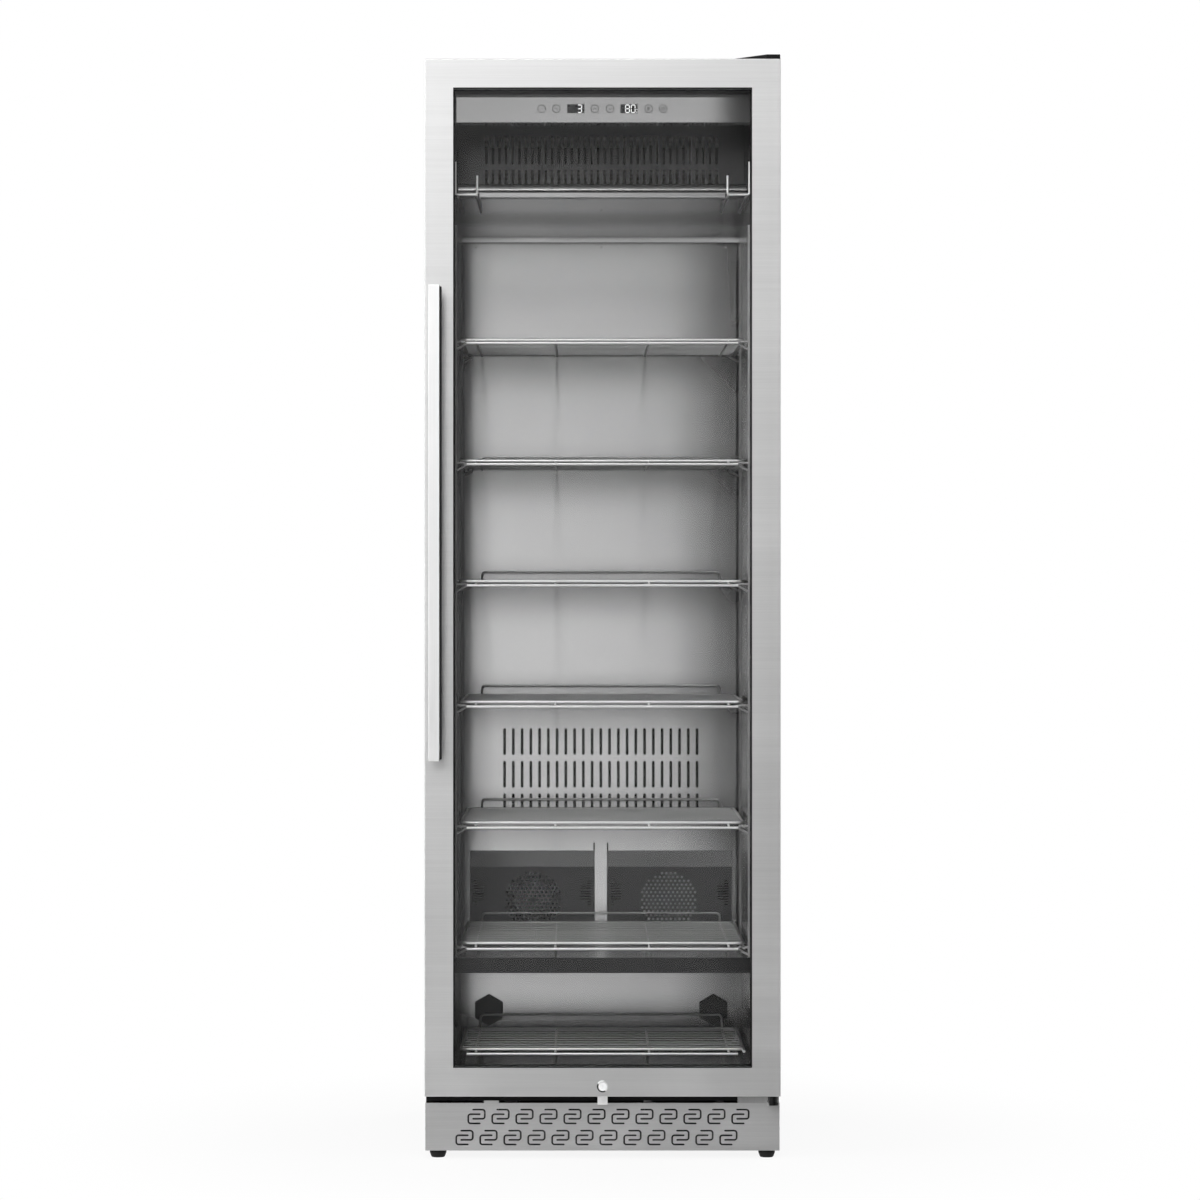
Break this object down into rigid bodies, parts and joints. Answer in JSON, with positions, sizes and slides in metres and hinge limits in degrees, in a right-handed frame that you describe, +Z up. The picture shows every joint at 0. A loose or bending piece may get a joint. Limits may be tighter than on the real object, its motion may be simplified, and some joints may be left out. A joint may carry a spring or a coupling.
{
  "type": "dry aging cabinet",
  "caption": "Tall refrigerated cabinet with a framed glass door, bar handle and lock, wire shelves, a hanging tube, a slotted kick plate and levelling feet.",
  "frame": {"origin": "on the floor, at the middle of the whole outline from the handle bar to the back panel", "axes": "+Z up; -Y is the door side that the user faces; +X to the user's right, the hinge side"},
  "size_m": [0.5974, 0.73, 1.8495],
  "materials": {
    "black_sheet": "satin",
    "foam": "matte",
    "frame_plastic": "satin",
    "fan_plastic": "satin",
    "fan_blade": "satin",
    "liner_steel": "satin",
    "panel_grey": "satin",
    "display": "gloss",
    "door_steel": "satin",
    "bright_steel": "polished",
    "glass": "polished",
    "seal_rubber": "matte",
    "shelf_wire": "gloss",
    "tube_steel": "gloss",
    "fin_aluminium": "satin",
    "pipe_copper": "satin"
  },
  "bodies": {
    "cabinet": {"side_panels": "black_sheet", "top_panel": "black_sheet", "back_panel": "black_sheet", "base_pan": "black_sheet", "bottom_panel": "black_sheet", "hinges": "black_sheet", "condenser": "black_sheet", "compressor": "black_sheet", "insulation_foam": "foam", "front_frame": "frame_plastic", "hinge_cover": "frame_plastic", "divider_fascia": "frame_plastic", "fan_covers": "fan_plastic", "fan_housing": "fan_plastic", "hexagon_caps": "fan_plastic", "power_inlet": "fan_plastic", "drip_tray": "fan_plastic", "filter_cartridge": "fan_blade", "liner_sides": "liner_steel", "liner_ceiling": "liner_steel", "liner_floor": "liner_steel", "liner_back": "liner_steel", "rear_panel": "liner_steel", "divider_plate": "liner_steel", "duct_cover": "liner_steel", "control_panel": "panel_grey", "display_board": "display", "kick_plate": "door_steel", "lock_strike": "bright_steel", "screws": "bright_steel", "shelf_supports": "shelf_wire", "tube_cradles": "shelf_wire", "evaporator": "fin_aluminium", "refrigerant_pipes": "pipe_copper"},
    "door": {"door_frame": "door_steel", "door_core": "frame_plastic", "door_back_frame": "frame_plastic", "glazing_bead": "frame_plastic", "glass_panes": "glass", "glass_spacer": "frame_plastic", "door_seal": "seal_rubber", "door_handle": "door_steel", "lock_barrel": "bright_steel", "hinge_bushes": "bright_steel"},
    "lock": {"lock_plug": "bright_steel"},
    "hanging_tube": {"hanging_tube": "tube_steel"},
    "floor_rack": {"floor_rack": "shelf_wire"},
    "circulation_fan": {"circulation_fan": "fan_blade"},
    "condenser_fan": {"condenser_fan": "fan_blade"},
    "shelf_1": {"shelf_1": "shelf_wire"},
    "shelf_2": {"shelf_2": "shelf_wire"},
    "shelf_3": {"shelf_3": "shelf_wire"},
    "shelf_4": {"shelf_4": "shelf_wire"},
    "shelf_5": {"shelf_5": "shelf_wire"},
    "shelf_6": {"shelf_6": "shelf_wire"},
    "foot_front_left": {"foot_front_left": "seal_rubber"},
    "foot_front_right": {"foot_front_right": "seal_rubber"},
    "foot_rear_left": {"foot_rear_left": "seal_rubber"},
    "foot_rear_right": {"foot_rear_right": "seal_rubber"}
  },
  "joints": [
    {"name": "door_hinge", "type": "hinge", "parent": "cabinet", "child": "door", "pos_m": [0.2855, -0.299, 0.975], "axis": [0, 0, 1], "range_deg": [0, 110]},
    {"name": "lock_turn", "type": "hinge", "parent": "door", "child": "lock", "pos_m": [0, -0.303, 0.126], "axis": [0, 1, 0], "range_deg": [0, 90]},
    {"name": "tube_slide", "type": "slide", "parent": "cabinet", "child": "hanging_tube", "axis": [0, 1, 0], "range_m": [0, 0.2]},
    {"name": "floor_rack_slide", "type": "slide", "parent": "cabinet", "child": "floor_rack", "axis": [0, -1, 0], "range_m": [0, 0.03]},
    {"name": "circulation_fan_spin", "type": "hinge", "parent": "cabinet", "child": "circulation_fan", "pos_m": [-0.122, 0.2368, 0.396], "axis": [0, -1, 0], "continuous": true},
    {"name": "condenser_fan_spin", "type": "hinge", "parent": "cabinet", "child": "condenser_fan", "pos_m": [-0.127, 0.2675, 0.105], "axis": [1, 0, 0], "continuous": true},
    {"name": "shelf_1_slide", "type": "slide", "parent": "cabinet", "child": "shelf_1", "axis": [0, -1, 0], "range_m": [0, 0.045]},
    {"name": "shelf_2_slide", "type": "slide", "parent": "cabinet", "child": "shelf_2", "axis": [0, -1, 0], "range_m": [0, 0.045]},
    {"name": "shelf_3_slide", "type": "slide", "parent": "cabinet", "child": "shelf_3", "axis": [0, -1, 0], "range_m": [0, 0.045]},
    {"name": "shelf_4_slide", "type": "slide", "parent": "cabinet", "child": "shelf_4", "axis": [0, -1, 0], "range_m": [0, 0.045]},
    {"name": "shelf_5_slide", "type": "slide", "parent": "cabinet", "child": "shelf_5", "axis": [0, -1, 0], "range_m": [0, 0.045]},
    {"name": "shelf_6_slide", "type": "slide", "parent": "cabinet", "child": "shelf_6", "axis": [0, -1, 0], "range_m": [0, 0.045]},
    {"name": "foot_front_left_turn", "type": "hinge", "parent": "cabinet", "child": "foot_front_left", "pos_m": [-0.2767, -0.25, 0.013], "axis": [0, 0, 1], "continuous": true},
    {"name": "foot_front_right_turn", "type": "hinge", "parent": "cabinet", "child": "foot_front_right", "pos_m": [0.2767, -0.25, 0.013], "axis": [0, 0, 1], "continuous": true},
    {"name": "foot_rear_left_turn", "type": "hinge", "parent": "cabinet", "child": "foot_rear_left", "pos_m": [-0.2767, 0.31, 0.013], "axis": [0, 0, 1], "continuous": true},
    {"name": "foot_rear_right_turn", "type": "hinge", "parent": "cabinet", "child": "foot_rear_right", "pos_m": [0.2767, 0.31, 0.013], "axis": [0, 0, 1], "continuous": true}
  ]
}
